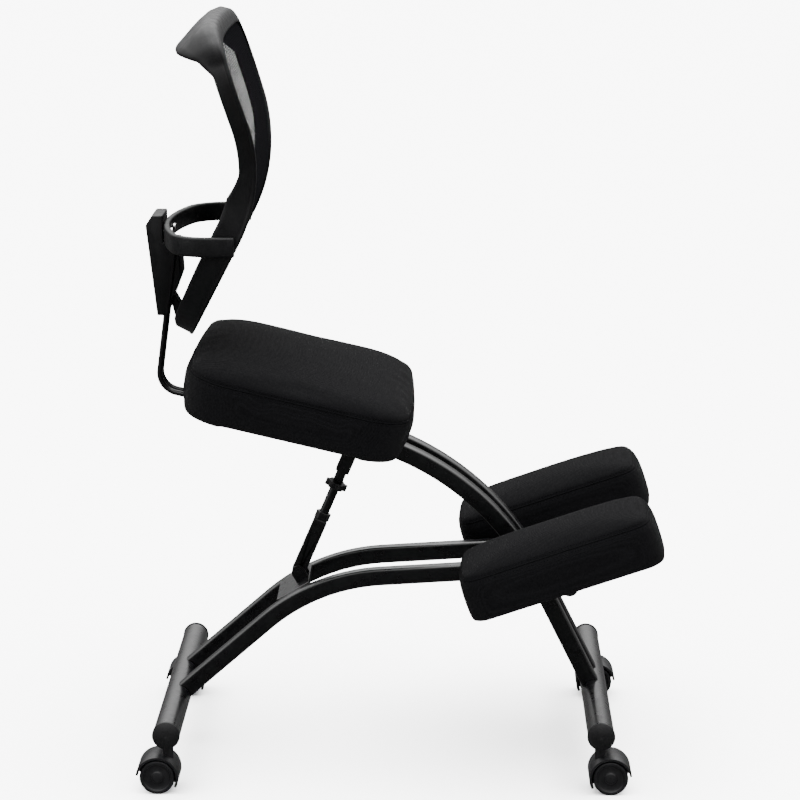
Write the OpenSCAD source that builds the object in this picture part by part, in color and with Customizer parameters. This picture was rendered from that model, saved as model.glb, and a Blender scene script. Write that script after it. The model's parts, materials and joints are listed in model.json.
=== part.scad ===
// Kneeling chair on four twin-wheel casters: two crossed bent-tube frames joined by a
// scissor bolt, a screw strut that sets the seat height, a seat and two knee cushions,
// and a mesh backrest on a pair of bent rods.
// X runs forward, Y to the sitter's left, Z up. The floor is Z = 0.

/* [Crossbars] */
// Distance between the rear and front crossbar axes
wheelbase = 616; // [600:1:630]
// Height of the crossbar axes above the floor
bar_z = 87.4; // [86:0.2:92]
// Outside diameter of the crossbar tube
bar_d = 38; // [36:1:40]
// Overall width across the crossbar end caps
bar_span = 470; // [460:1:500]

/* [Rails] */
// Height of the bent rail tubes
rail_h = 25; // [22:0.5:28]
// Width of each lower rail tube
lower_rail_w = 20; // [18:1:22]
// Distance of each lower rail's middle from the chair's middle
lower_rail_y = 57.25; // [56:0.25:60]
// Width of each upper rail tube
upper_rail_w = 24; // [20:1:24]
// Distance of each upper rail's middle from the chair's middle
upper_rail_y = 29; // [28:0.5:30]
// Wall thickness of the rail tubes
rail_wall = 1.6; // [1.2:0.1:2.5]

/* [Seat] */
// Width of the seat cushion
seat_w = 400; // [360:5:440]
// Depth of the seat cushion from back to front
seat_l = 306; // [290:2:320]
// Forward tilt of the seat
seat_tilt = 13.5; // [10:0.5:16]

/* [Knee pads] */
// Width of each knee pad
pad_w = 155; // [140:1:158]
// Length of each knee pad
pad_l = 278; // [250:2:290]
// Distance of each pad's middle from the chair's middle
pad_y = 148; // [148:1:160]
// Upward tilt of the pads towards the front
pad_tilt = 18.7; // [15:0.1:22]

/* [Backrest] */
// Diameter of the two rods that carry the backrest
rod_d = 8; // [7:0.5:9]
// Wall thickness of the back frame
rim_t = 5; // [4:0.5:6]
// Radius of the lumbar curve
lumbar_r = 230; // [220:5:240]

/* [Casters] */
// Wheel diameter
wheel_d = 50; // [48:1:52]
// Distance from the swivel axis back to the axle
trail = 14; // [12:1:18]
// Distance of each swivel axis from the chair's middle
caster_y = 208; // [200:1:210]

/* [Hidden] */
$fn = 96;
fit = 0.05;                 // radial clearance of running and seated fits
eps = 0.01;

// Everything is drawn with X = 0 on the rear crossbar's axis, then moved back by this
centre_x = 321.435;

// Crossbars
cap_rim = 4;
cap_dome = 5;
cap_plug = 9;
cap_r = bar_d / 2 + 0.8;
bar_l = bar_span - 2 * (cap_rim + cap_dome);
bar_wall = 2;
socket_r = 8;
stem_r = 5.5;

// Lower rails: a straight run up from the rear crossbar, one bend, a nearly level run
low_rise = 41;
low_level = 3.5;
low_bend = 280;
low_run_1 = 177;
low_run_2 = 272;

// Upper rails: a steep run up from the front crossbar, one long bend, a run under the seat
up_rise = 63.8;
up_bend = 400;
up_run_1 = 196.5;
up_run_2 = 215;

// A point at distance d from p in direction a of the X-Z plane
function polar(p, d, a) = [p[0] + d * cos(a), p[1] + d * sin(a)];
// The end of a run, a clockwise bend of radius r and a second run, starting at p
function bent_end(p, a, run_1, r, turn, run_2) =
    let (centre = polar(polar(p, run_1, a), r, a - 90))
    polar(polar(centre, r, a - turn + 90), run_2, a - turn);

rear_bar = [0, bar_z];
front_bar = [wheelbase, bar_z];

// Knee tube: the lower rails end on it
knee_tube_r = 12.5;
knee_tube_l = 334;
knee_end = bent_end(rear_bar, low_rise, low_run_1, low_bend, low_rise - low_level, low_run_2);

// Knee pad frame: u along the pad, v square to its base
pad_plate_t = 4;
pad_base = polar(knee_end, knee_tube_r + pad_plate_t, 90 + pad_tilt);
pad_board_t = 12;
pad_h = 70;
pad_screw_u = 42;
pad_screw_y = 38;

// Scissor bolt, where the two frames cross
pivot = [517, 285];
pivot_r = 5;

// Seat frame: the base plane lies on the seat plate
seat_plate_t = 2.5;
seat_pos = [185, 511.6];
seat_board_t = 12;
seat_h = 70;
seat_screw_u = 70;
seat_screw_y = 75;

// Strut between the lower frame and the seat
strut_foot = [178, 264];
strut_head = [269, 474];
strut_lean = atan2(strut_head[0] - strut_foot[0], strut_head[1] - strut_foot[1]);
strut_l = norm(strut_head - strut_foot);
strut_w = 20;
ear_t = 4;
ear_gap = 0.5;
pin_r = 4;
nut_at = 85;
nut_t = 12;
thread_r = 7;
knob_at = 138;
knob_t = 9;
knob_r = 16;
neck_r = 7.5;
neck_at = knob_at + knob_t + 1;
sleeve_at = 165;
journal_r = 5;
eye_r = 6.5;
head_rise = -(strut_head - seat_pos) * [sin(seat_tilt), cos(seat_tilt)] - seat_plate_t;
plate_at = 177;
plate_z = 234.6;
plate_lean = 30;
plate_l = 54;
plate_t = 5;

// Back rods: a run under the seat, one bend, a run up into the housing
rod_r = rod_d / 2;
rod_y = 12;
rod_lean = 7.8;
rod_bend = 30;
rod_corner = [-23.5, 542.5];
rod_turn = 90 - seat_tilt + rod_lean;
rod_reach = rod_bend * tan(rod_turn / 2);
rod_run_1 = 118;
rod_run_2 = 180;
rod_start = polar(rod_corner, rod_run_1 + rod_reach, -seat_tilt);
clamp_l = 60;
clamp_half = upper_rail_y - upper_rail_w / 2;
clamp_rise = 14;
clamp_drop = 8;
rod_foot = polar(rod_corner, (655 - rod_corner[1]) / cos(rod_lean), 90 - rod_lean);
rod_top = rod_reach + rod_run_2 - (655 - rod_corner[1]) / cos(rod_lean);

// Back housing
house_w = 70;

// Backrest shape. The profile rises from the tip along a forward lean, round the lumbar
// curve and up a backward lean. s is the distance along it, 0 where the curve begins.
low_lean = 27.5;
top_lean = 17.5;
lumbar = [136.5 - lumbar_r, 885];
curve_l = lumbar_r * (low_lean + top_lean) * PI / 180;
function lean_at(s) =
    s < 0 ? low_lean : s > curve_l ? -top_lean : low_lean - s / lumbar_r * 180 / PI;
function profile(s) =
    let (a = lean_at(min(max(s, 0), curve_l)))
    let (p = [lumbar[0] + lumbar_r * cos(a), lumbar[1] - lumbar_r * sin(a)])
    let (over = s - min(max(s, 0), curve_l))
    [p[0] + over * sin(a), p[1] + over * cos(a)];
// A point y across, s along the profile and d behind it
function back_point(y, s, d) =
    let (p = profile(s), a = lean_at(s))
    [p[0] - d * cos(a), y, p[1] + d * sin(a)];

// Half of the back frame's outline as [y, s], and the frame's depth [s, depth]
half_outline = [
    [0, 297], [110, 295], [154, 287], [174, 266], [181, 232], [177, 190], [166, 150],
    [155, 110], [151, 60], [153, 10], [151, -30], [134, -78], [104, -124], [60, -158], [0, -173]
];
rim_depth = [
    [-173, 26], [-150, 35], [-110, 37], [-60, 39], [0, 40], [60, 38], [80, 31], [100, 25],
    [250, 25], [275, 40], [297, 74]
];
rim_bulge = [[262, 0], [285, 14], [297, 27]];
last = len(half_outline) - 1;
// Catmull-Rom curve through the half outline, mirrored at both ends
function ctrl(i) =
    i < 0 ? [-half_outline[-i][0], half_outline[-i][1]]
    : i > last ? [-half_outline[2 * last - i][0], half_outline[2 * last - i][1]]
    : half_outline[i];
function spline(i, t) =
    0.5 * (2 * ctrl(i) + (ctrl(i + 1) - ctrl(i - 1)) * t
    + (2 * ctrl(i - 1) - 5 * ctrl(i) + 4 * ctrl(i + 1) - ctrl(i + 2)) * t * t
    + (3 * ctrl(i) - ctrl(i - 1) - 3 * ctrl(i + 1) + ctrl(i + 2)) * t * t * t);
steps = 3;
half_curve = [for (i = [0:last - 1]) for (k = [0:steps - 1]) spline(i, k / steps)];
half_n = len(half_curve);
loop = concat(half_curve, [ctrl(last)], [for (i = [half_n - 1:-1:1]) [-half_curve[i][0], half_curve[i][1]]]);
loop_n = len(loop);
function outward(i) =
    let (d = loop[(i + 1) % loop_n] - loop[(i + loop_n - 1) % loop_n], n = norm(d))
    [-d[1] / n, d[0] / n];

// Yoke: an elliptical bow in plan, carried on as two straight arms
yoke_z = 762;
yoke_h = 28;
yoke_t = 9;
yoke_half = 160.5;
yoke_nose = -3.5;
yoke_arm = 38;
nose_r = 400;
shoulder_r = 52;
nose_a = asin((yoke_half - shoulder_r) / (nose_r - shoulder_r));
shoulder_x = yoke_nose + nose_r - (nose_r - shoulder_r) * cos(nose_a);
shoulder_y = yoke_half - shoulder_r;
link_d = 26.9;

// Casters
axle_r = 3;
wheel_w = 15;
web_half = 8;
wheel_in = 8.8;
hood_r = 30.5;
hood_wall = 3.2;
hood_half = 25.5;
barrel_r = 8;
hood_top = 39.5;

// ---------------------------------------------------------------- placing and shaping

// Puts a piece drawn about [x, z], pitched up towards the front, into the chair's frame
module at(p, pitch = 0, y = 0) translate([p[0] - centre_x, y, p[1]]) rotate([0, -pitch, 0]) children();
module both_sides(y) for (side = [-1, 1]) translate([0, side * y, 0]) children();
// A rod along Y, centred
module rod_y_axis(r, l, sides = 96) rotate([90, 0, 0]) cylinder(r = r, h = l, center = true, $fn = sides);

// Sweeps a 2D section along a run, a clockwise bend and a second run, in the X-Z plane
module bent(run_1, r, turn, run_2) rotate([90, 0, 0]) {
    rotate([90, 0, 90]) linear_extrude(run_1) children();
    translate([run_1, -r, 0]) rotate([0, 0, 90 - turn]) rotate_extrude(angle = turn, $fn = 180)
        translate([r, 0]) children();
    translate([run_1, -r, 0]) rotate([0, 0, -turn]) translate([0, r, 0]) rotate([90, 0, 90])
        linear_extrude(run_2) children();
}
module rail_tube(w, run_1, r, turn, run_2) difference() {
    bent(run_1, r, turn, run_2) square([rail_h, w], center = true);
    translate([-1, 0, 0]) bent(run_1 + 1, r, turn, run_2 + 1)
        square([rail_h - 2 * rail_wall, w - 2 * rail_wall], center = true);
}
// A cushion: stacked rounded rectangles, wide at mid height, crowned on top
module cushion(l, w, height, corner) hull()
    for (layer = [[0, 26], [0.28, 5], [0.6, 0], [0.88, 3], [1, 10]])
        cushion_layer(l, w, layer[0] * height, layer[1], corner);
module cushion_layer(l, w, z, inset, corner)
    for (sx = [-1, 1], sy = [-1, 1])
        translate([sx * (l / 2 - corner), sy * (w / 2 - corner), z])
            cylinder(r = corner - inset, h = eps, $fn = 32);

// ---------------------------------------------------------------- crossbars and casters

module crossbar(p) at(p) difference() {
    union() {
        difference() {
            rod_y_axis(bar_d / 2, bar_l);
            rod_y_axis(bar_d / 2 - bar_wall, bar_l + 2);
        }
        both_sides(caster_y) cylinder(r = socket_r, h = bar_d - 2 * bar_wall + 0.4, center = true);
    }
    both_sides(caster_y) translate([0, 0, -bar_d / 2 - 1]) cylinder(r = stem_r + fit, h = bar_d - 6);
}
module bar_cap() {
    dome_r = (cap_r * cap_r + cap_dome * cap_dome) / (2 * cap_dome);
    translate([0, 0, -cap_plug]) cylinder(r = bar_d / 2 - bar_wall - fit, h = cap_plug);
    cylinder(r = cap_r, h = cap_rim);
    intersection() {
        cylinder(r = cap_r, h = cap_rim + cap_dome);
        translate([0, 0, cap_rim + cap_dome - dome_r]) sphere(r = dome_r, $fn = 128);
    }
}
module bar_caps(p) at(p) for (side = [-1, 1])
    translate([0, side * bar_l / 2, 0]) rotate([-90 * side, 0, 0]) bar_cap();
module caster_stems(p) at(p) both_sides(caster_y) {
    translate([0, 0, -bar_z + wheel_d / 2 - 9]) cylinder(r = stem_r, h = bar_z - wheel_d / 2 + 9 + bar_d / 2 - 8);
    translate([0, 0, -bar_d / 2 - 2.9]) cylinder(r = 7.5, h = 2);
}
// One caster about its swivel axis at floor level, its axle trailing towards -X
module hood() difference() {
    union() {
        translate([-trail, 0, wheel_d / 2]) difference() {
            union() {
                difference() {
                    rod_y_axis(hood_r, 2 * hood_half);
                    rod_y_axis(hood_r - hood_wall, 2 * hood_half + 2);
                }
                rod_y_axis(hood_r - 1, 2 * web_half - 1);
            }
            rotate([0, 18, 0]) translate([-60, -40, -89]) cube([120, 80, 84]);
        }
        translate([0, 0, 14]) cylinder(r = barrel_r, h = hood_top + wheel_d / 2 - 14);
    }
    translate([0, 0, 10]) cylinder(r = stem_r + fit, h = 80);
    translate([-trail, 0, wheel_d / 2]) rod_y_axis(axle_r, 2 * web_half + 2);
}
module axle() translate([-trail, 0, wheel_d / 2]) rod_y_axis(axle_r, 2 * (wheel_in + wheel_w - 3));
module wheel() translate([-trail, wheel_in + wheel_w / 2, wheel_d / 2]) difference() {
    union() {
        rod_y_axis(wheel_d / 2, wheel_w - 4);
        rod_y_axis(wheel_d / 2 - 2, wheel_w);
    }
    translate([0, wheel_w / 2, 0]) rod_y_axis(wheel_d / 2 - 6, 3);
    translate([0, -3, 0]) rod_y_axis(axle_r + fit, wheel_w);
}
function caster_bar(corner) = corner[0] == "r" ? rear_bar : front_bar;
function caster_side(corner) = corner[1] == "l" ? 1 : -1;
// Rear casters trail to the back, front casters to the front
module caster_place(corner) at([caster_bar(corner)[0], 0], 0, caster_side(corner) * caster_y)
    mirror([corner[0] == "r" ? 0 : 1, 0, 0]) mirror([0, caster_side(corner) > 0 ? 0 : 1, 0]) children();
module caster_hood(corner) color("#26272a") caster_place(corner) hood();
module caster_axle(corner) color("silver") caster_place(corner) axle();
module wheel_outer(corner) color("#303136") caster_place(corner) wheel();
module wheel_inner(corner) color("#303136") caster_place(corner) mirror([0, 1, 0]) wheel();

module rear_crossbar() color("#2c2d30") crossbar(rear_bar);
module front_crossbar() color("#2c2d30") crossbar(front_bar);
module rear_bar_caps() color("#161616") bar_caps(rear_bar);
module front_bar_caps() color("#161616") bar_caps(front_bar);
module rear_caster_stems() color("silver") caster_stems(rear_bar);
module front_caster_stems() color("silver") caster_stems(front_bar);

// ---------------------------------------------------------------- lower frame

module lower_rail(side) color("#2c2d30") difference() {
    at(rear_bar, low_rise, side * lower_rail_y)
        rail_tube(lower_rail_w, low_run_1, low_bend, low_rise - low_level, low_run_2 - 3);
    at(rear_bar) rod_y_axis(bar_d / 2, 200);
    at(knee_end) rod_y_axis(knee_tube_r, 200);
    at(pivot) rod_y_axis(pivot_r + fit, 200);
}
module lower_rail_left() lower_rail(1);
module lower_rail_right() lower_rail(-1);

module knee_tube() color("#2c2d30") at(knee_end) difference() {
    rod_y_axis(knee_tube_r, knee_tube_l);
    rod_y_axis(knee_tube_r - rail_wall, knee_tube_l + 2);
}
module knee_tube_caps() color("#161616") at(knee_end) for (side = [-1, 1])
    translate([0, side * knee_tube_l / 2, 0]) rotate([-90 * side, 0, 0]) {
        translate([0, 0, -10]) cylinder(r = knee_tube_r - rail_wall - fit, h = 10);
        cylinder(r = knee_tube_r, h = 2.5);
    }

// The pads' own frame: origin on the base plane, over the knee tube
module on_pads(side) at(pad_base, pad_tilt, side * pad_y) children();
module pad_holes(r, h) for (sx = [-1, 1], sy = [-1, 1])
    translate([sx * pad_screw_u, sy * pad_screw_y, -h / 2]) cylinder(r = r, h = h);
module pad_plates() color("#2c2d30") for (side = [-1, 1]) on_pads(side) difference() {
    translate([-60, -52, -pad_plate_t]) cube([120, 104, pad_plate_t]);
    pad_holes(3 + fit, 20);
}
pad_board = [pad_l - 66, pad_w - 62, pad_board_t];
module pad_boards() color("burlywood") for (side = [-1, 1]) on_pads(side) difference() {
    translate([-pad_board[0] / 2, -pad_board[1] / 2, 0]) cube(pad_board);
    pad_holes(3 + fit, 20);
}
module knee_pad(side) color("#17181a") on_pads(side) difference() {
    cushion(pad_l, pad_w, pad_h, 32);
    translate([-pad_board[0] / 2 - 0.3, -pad_board[1] / 2 - 0.3, -1])
        cube([pad_board[0] + 0.6, pad_board[1] + 0.6, pad_board_t + 1.3]);
}
module knee_pad_left() knee_pad(1);
module knee_pad_right() knee_pad(-1);
module hex_screw(grip, reach) {
    translate([0, 0, -grip - 4]) cylinder(r = 5.8, h = 4, $fn = 6);
    translate([0, 0, -grip]) cylinder(r = 3, h = grip + reach);
}
module pad_screws() color("silver") for (side = [-1, 1]) on_pads(side)
    for (sx = [-1, 1], sy = [-1, 1]) translate([sx * pad_screw_u, sy * pad_screw_y, 0])
        hex_screw(pad_plate_t, 9);

// The bolt runs right through both frames
bolt_half = lower_rail_y + lower_rail_w / 2 + fit;
module pivot_bolt() color("silver") at(pivot) {
    rod_y_axis(pivot_r, 2 * bolt_half + 10);
    translate([0, -bolt_half - 3, 0]) rod_y_axis(8.5, 6, 6);
}
module pivot_nut() color("silver") at(pivot) difference() {
    translate([0, bolt_half + 2.5, 0]) rod_y_axis(8.5, 5, 6);
    rod_y_axis(pivot_r + fit, 200);
}
spacer_l = lower_rail_y - lower_rail_w / 2 - upper_rail_y - upper_rail_w / 2;
module pivot_spacers() color("#161616") at(pivot) difference() {
    both_sides(upper_rail_y + upper_rail_w / 2 + spacer_l / 2) rod_y_axis(9, spacer_l - 0.2);
    rod_y_axis(pivot_r + fit, 200);
}

// Strut foot: a plate between the lower rails with two ears on it
module strut_cross_plate() color("#2c2d30") at([plate_at, plate_z], plate_lean)
    translate([-plate_l / 2, -lower_rail_y + lower_rail_w / 2, rail_h / 2 - plate_t])
        cube([plate_l, 2 * lower_rail_y - lower_rail_w, plate_t]);
// Two ears round p, with webs from low to high along the direction square to the lean
module ears(p, lean, low, high) both_sides(strut_w / 2 + ear_gap + ear_t / 2) {
    at(p) rod_y_axis(10, ear_t);
    at(p, lean) translate([-10, -ear_t / 2, low]) cube([20, ear_t, high - low]);
}
foot_drop = (strut_foot[1] - plate_z) * cos(plate_lean) - (strut_foot[0] - plate_at) * sin(plate_lean)
    - rail_h / 2;
module strut_clevis() color("#2c2d30") difference() {
    ears(strut_foot, plate_lean, -foot_drop, 0);
    at(strut_foot) rod_y_axis(pin_r, 60);
}
pin_half = strut_w / 2 + ear_gap + ear_t;
module pin(p) at(p) {
    rod_y_axis(pin_r, 2 * pin_half + 1);
    translate([0, -pin_half - 1.25, 0]) rod_y_axis(6, 2.5);
}
module strut_foot_pin() color("#2c2d30") pin(strut_foot);

// ---------------------------------------------------------------- upper frame

module upper_rail(side) color("#2c2d30") difference() {
    translate([wheelbase - centre_x, side * upper_rail_y, bar_z]) mirror([1, 0, 0]) rotate([0, -up_rise, 0])
        rail_tube(upper_rail_w, up_run_1, up_bend, up_rise - seat_tilt, up_run_2);
    at(front_bar) rod_y_axis(bar_d / 2, 200);
    at(pivot) rod_y_axis(pivot_r + fit, 200);
}
module upper_rail_left() upper_rail(1);
module upper_rail_right() upper_rail(-1);
module pivot_sleeve() color("#2c2d30") at(pivot) difference() {
    rod_y_axis(9, 2 * upper_rail_y - upper_rail_w);
    rod_y_axis(pivot_r + fit, 200);
}

// The seat's own frame: origin on the top of the seat plate
module on_seat() at(seat_pos, -seat_tilt) children();
module seat_holes(r, h) for (sx = [-1, 1], sy = [-1, 1])
    translate([sx * seat_screw_u, sy * seat_screw_y, -h / 2]) cylinder(r = r, h = h);
module seat_plate() color("#2c2d30") on_seat() difference() {
    translate([-115, -95, -seat_plate_t]) cube([230, 190, seat_plate_t]);
    seat_holes(3 + fit, 30);
}
seat_board = [seat_l - 66, seat_w - 66, seat_board_t];
module seat_board() color("burlywood") on_seat() difference() {
    translate([-6 - seat_board[0] / 2, -seat_board[1] / 2, 0]) cube(seat_board);
    seat_holes(3 + fit, 30);
}
module seat_cushion() color("#17181a") on_seat() translate([-6, 0, 0]) difference() {
    cushion(seat_l, seat_w, seat_h, 45);
    translate([-seat_board[0] / 2 - 0.3, -seat_board[1] / 2 - 0.3, -1])
        cube([seat_board[0] + 0.6, seat_board[1] + 0.6, seat_board_t + 1.3]);
}
module seat_screws() color("silver") on_seat()
    for (sx = [-1, 1], sy = [-1, 1]) translate([sx * seat_screw_u, sy * seat_screw_y, 0])
        hex_screw(seat_plate_t, 9);

// Strut head bracket: two ears under the seat plate, holding a pin in the tube's wide eye
module strut_head_bracket() color("#2c2d30") difference() {
    ears(strut_head, -seat_tilt, 0, head_rise);
    at(strut_head) rod_y_axis(pin_r, 60);
}
module strut_head_pin() color("#2c2d30") at(strut_head) rod_y_axis(pin_r, 2 * pin_half);

// Back rods, held by a block between the upper rails
module back_rods() color("#2c2d30") at(rod_start, 180 - seat_tilt) both_sides(rod_y)
    bent(rod_run_1, rod_bend, rod_turn, rod_run_2) circle(r = rod_r);
module rod_clamp() color("#2c2d30") difference() {
    at(rod_start, -seat_tilt) translate([-clamp_l, -clamp_half, -clamp_drop])
        cube([clamp_l, 2 * clamp_half, clamp_drop + clamp_rise]);
    at(rod_start, 180 - seat_tilt) both_sides(rod_y) rotate([0, 90, 0]) translate([0, 0, -2])
        cylinder(r = rod_r + fit, h = clamp_l + 4);
}

// ---------------------------------------------------------------- strut

// The strut's own frame: origin at the foot pin, Z along the strut
module on_strut() at(strut_foot) rotate([0, strut_lean, 0]) children();
module strut_block(low, high) translate([-strut_w / 2, -strut_w / 2, low]) cube([strut_w, strut_w, high - low]);
module strut_lower_tube() color("#2c2d30") on_strut() difference() {
    union() {
        strut_block(0, nut_at);
        rod_y_axis(strut_w / 2, strut_w);
    }
    translate([-strut_w / 2 + 2, -strut_w / 2 + 2, 8]) cube([strut_w - 4, strut_w - 4, nut_at]);
    rod_y_axis(pin_r + fit, 60);
}
module strut_nut() color("#2c2d30") on_strut() translate([0, 0, nut_at]) difference() {
    cylinder(r = 11.5, h = nut_t, $fn = 6);
    translate([0, 0, -1]) cylinder(r = thread_r + fit, h = nut_t + 2);
}
module strut_screw() color("#2c2d30") on_strut() {
    translate([0, 0, 32]) cylinder(r = thread_r, h = neck_at - 32 - 0.5);
    translate([0, 0, 32]) cylinder(r = journal_r, h = sleeve_at + 25 - 32);
}
module hand_nut() color("#161616") on_strut() translate([0, 0, knob_at]) difference() {
    union() {
        cylinder(r = knob_r - 3, h = knob_t);
        for (i = [0:5]) rotate([0, 0, 60 * i]) translate([knob_r - 4, 0, 0]) cylinder(r = 4.5, h = knob_t);
    }
    translate([0, 0, -1]) cylinder(r = thread_r + fit, h = knob_t + 2);
}
module strut_upper_tube() color("#2c2d30") on_strut() difference() {
    union() {
        translate([0, 0, neck_at]) cylinder(r = neck_r, h = sleeve_at - neck_at + 1);
        strut_block(sleeve_at, strut_l);
        translate([0, 0, strut_l]) rod_y_axis(strut_w / 2, strut_w);
    }
    translate([0, 0, neck_at - 1]) cylinder(r = journal_r + fit, h = sleeve_at + 28 - neck_at);
    translate([0, 0, strut_l]) rod_y_axis(eye_r, 60);
}

// ---------------------------------------------------------------- backrest

// Extrudes an X-Z outline across the chair, centred
module across(w) translate([-centre_x, 0, 0]) rotate([90, 0, 0])
    linear_extrude(w, center = true) children();
module rod_bores(top) at(rod_foot, 90 - rod_lean) both_sides(rod_y) rotate([0, 90, 0])
    translate([0, 0, -20]) cylinder(r = rod_r + fit, h = 20 + top);
module back_housing() color("#1b1c1e") difference() {
    across(house_w) polygon([
        [-19, 655], [-33, 786], [-24, 800], [yoke_nose - yoke_t / 2 - 0.2, 800],
        [yoke_nose - yoke_t / 2 - 0.2, yoke_z - 0.5], [11.5, yoke_z - 0.5], [11.5, 757], [-2.5, 660], [-6, 655]
    ]);
    rod_bores(rod_top + 4);
    yoke_holes(2 + fit);
}
module housing_cover() color("#1b1c1e") across(house_w - 8) polygon([
    [-1.5, 666.4], [16, 712], [14, 745], [11.55, 756.8]
]);

// The bow in plan: a shallow nose arc, a tighter shoulder on each side, then the straight
// arms. o is the offset outwards from the bow's middle.
function arc(c, r, from, to, n) = [for (i = [0:n]) polar(c, r, from + (to - from) * i / n)];
function bow(o) = concat(
    [[shoulder_x + yoke_arm, yoke_half + o]],
    arc([shoulder_x, shoulder_y], shoulder_r + o, 90, 180 - nose_a, 12),
    arc([yoke_nose + nose_r, 0], nose_r + o, 180 - nose_a + 1, 180 + nose_a - 1, 24),
    arc([shoulder_x, -shoulder_y], shoulder_r + o, 180 + nose_a, 270, 12),
    [[shoulder_x + yoke_arm, -yoke_half - o]]);
function reversed(list) = [for (i = [len(list) - 1:-1:0]) list[i]];
module back_yoke() color("#1b1c1e") difference() {
    translate([-centre_x, 0, yoke_z]) linear_extrude(yoke_h)
        polygon(concat(bow(yoke_t / 2), reversed(bow(-yoke_t / 2))));
    yoke_holes(2 + fit);
}
module yoke_holes(r) at([20, yoke_z + yoke_h / 2]) both_sides(20) rotate([0, -90, 0]) cylinder(r = r, h = 44);
module yoke_screws() color("silver") at([yoke_nose + yoke_t / 2 + 0.9, yoke_z + yoke_h / 2])
    both_sides(20) rotate([0, -90, 0]) {
        translate([0, 0, -2.5]) cylinder(r = 4.5, h = 2.5);
        cylinder(r = 2, h = 20);
    }
module back_foot_link() color("#1b1c1e") across(28) polygon([
    [-0.1, 669.6], [4.8, 682.4], [for (c = [0, 2]) back_point(0, -150, link_d)[c]],
    [for (c = [0, 2]) back_point(0, -172, link_d)[c]]
]);

// The frame: a strip swept round the loop. Each station is an outer and an inner row of
// points from the front edge (f = 0) to the rear edge (f = 1).
across_n = 4;
function strip_point(i, f, side) =
    let (p = loop[i], n = outward(i), s = p[1])
    let (o = side * rim_t / 2 + lookup(s, rim_bulge) * sin(180 * sqrt(f)))
    back_point(p[0] + o * n[0], s + o * n[1], f * lookup(s, rim_depth));
function station(i) = concat(
    [for (j = [0:across_n]) strip_point(i, j / across_n, 1)],
    [for (j = [across_n:-1:0]) strip_point(i, j / across_n, -1)]);
module back_frame() color("#1b1c1e") translate([-centre_x, 0, 0]) {
    ring = 2 * (across_n + 1);
    polyhedron(
        points = [for (i = [0:loop_n - 1]) each station(i)],
        faces = [for (i = [0:loop_n - 1], j = [0:ring - 1])
            let (a = i * ring, b = ((i + 1) % loop_n) * ring, k = (j + 1) % ring)
            each [[a + j, a + k, b + k], [a + j, b + k, b + j]]]);
}
// The mesh: a thin ruled sheet between the two sides of the loop
mesh_gap = 1;
mesh_t = 1.5;
mesh_front = 2;
function mesh_row(i) =
    let (q = loop[i] - outward(i) * (rim_t / 2 + mesh_gap))
    [for (c = [[-1, 0], [1, 0], [1, 1], [-1, 1]]) back_point(c[0] * q[0], q[1], mesh_front + c[1] * mesh_t)];
module back_mesh() color("#303236") translate([-centre_x, 0, 0]) {
    rows = half_n - 2;
    polyhedron(
        points = [for (i = [1:half_n - 1]) each mesh_row(i)],
        faces = concat([[3, 2, 1, 0]], [[for (c = [0:3]) rows * 4 + c]],
            [for (i = [0:rows - 1], c = [0:3])
                let (a = i * 4, k = (c + 1) % 4)
                each [[a + c, a + k, a + 4 + k], [a + c, a + 4 + k, a + 4 + c]]]));
}

// ---------------------------------------------------------------- output
rear_crossbar();
rear_bar_caps();
lower_rail_left();
lower_rail_right();
strut_cross_plate();
strut_clevis();
strut_foot_pin();
knee_tube();
knee_tube_caps();
pad_plates();
pad_boards();
knee_pad_left();
knee_pad_right();
pad_screws();
pivot_bolt();
pivot_nut();
pivot_spacers();
rear_caster_stems();
front_crossbar();
front_bar_caps();
upper_rail_left();
upper_rail_right();
pivot_sleeve();
seat_plate();
seat_board();
seat_cushion();
seat_screws();
strut_head_bracket();
strut_head_pin();
back_rods();
rod_clamp();
front_caster_stems();
strut_lower_tube();
strut_nut();
strut_upper_tube();
strut_screw();
hand_nut();
back_housing();
housing_cover();
back_yoke();
yoke_screws();
back_foot_link();
back_frame();
back_mesh();
caster_hood("rl");  // caster_hood_rl
caster_axle("rl");  // caster_axle_rl
wheel_outer("rl");  // wheel_rl_outer
wheel_inner("rl");  // wheel_rl_inner
caster_hood("rr");  // caster_hood_rr
caster_axle("rr");  // caster_axle_rr
wheel_outer("rr");  // wheel_rr_outer
wheel_inner("rr");  // wheel_rr_inner
caster_hood("fl");  // caster_hood_fl
caster_axle("fl");  // caster_axle_fl
wheel_outer("fl");  // wheel_fl_outer
wheel_inner("fl");  // wheel_fl_inner
caster_hood("fr");  // caster_hood_fr
caster_axle("fr");  // caster_axle_fr
wheel_outer("fr");  // wheel_fr_outer
wheel_inner("fr");  // wheel_fr_inner
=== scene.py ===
"""The looks of a kneeling chair on casters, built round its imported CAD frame."""

import json
import math

import bmesh
import bpy
import numpy as np
from mathutils import Matrix, Vector
from mathutils.bvhtree import BVHTree


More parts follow.
